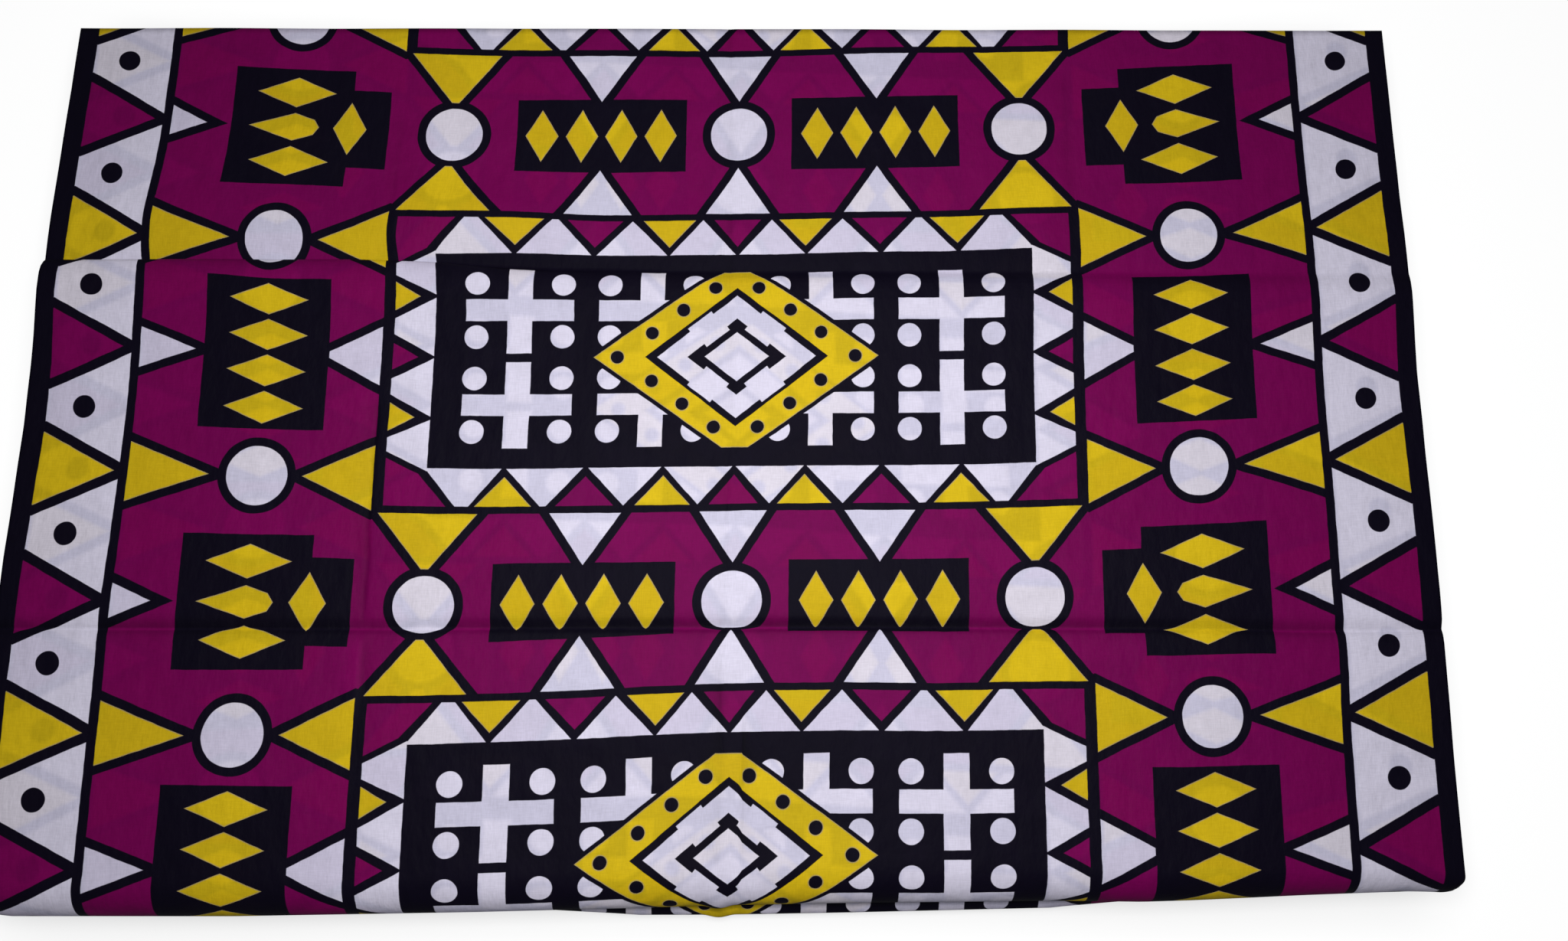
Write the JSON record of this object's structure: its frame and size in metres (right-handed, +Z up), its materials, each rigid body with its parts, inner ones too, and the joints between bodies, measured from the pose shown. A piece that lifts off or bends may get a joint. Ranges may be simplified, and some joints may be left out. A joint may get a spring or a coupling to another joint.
{
  "type": "folded ankara fabric",
  "caption": "Length of wax print cotton with a geometric zigzag and diamond print, folded in layers and lying flat with a soft rounded near fold.",
  "frame": {"origin": "middle of the underside's box, on the surface that the cloth lies on", "axes": "+X across the cloth from its left selvedge to its right one, +Y away from the near fold, +Z up"},
  "size_m": [1.1776, 0.76, 0.0542],
  "materials": {
    "printed_cotton": "matt",
    "folded_cotton": "matt"
  },
  "bodies": {
    "root": {"cloth_outer": "printed_cotton", "cloth_inner": "folded_cotton"}
  },
  "joints": []
}
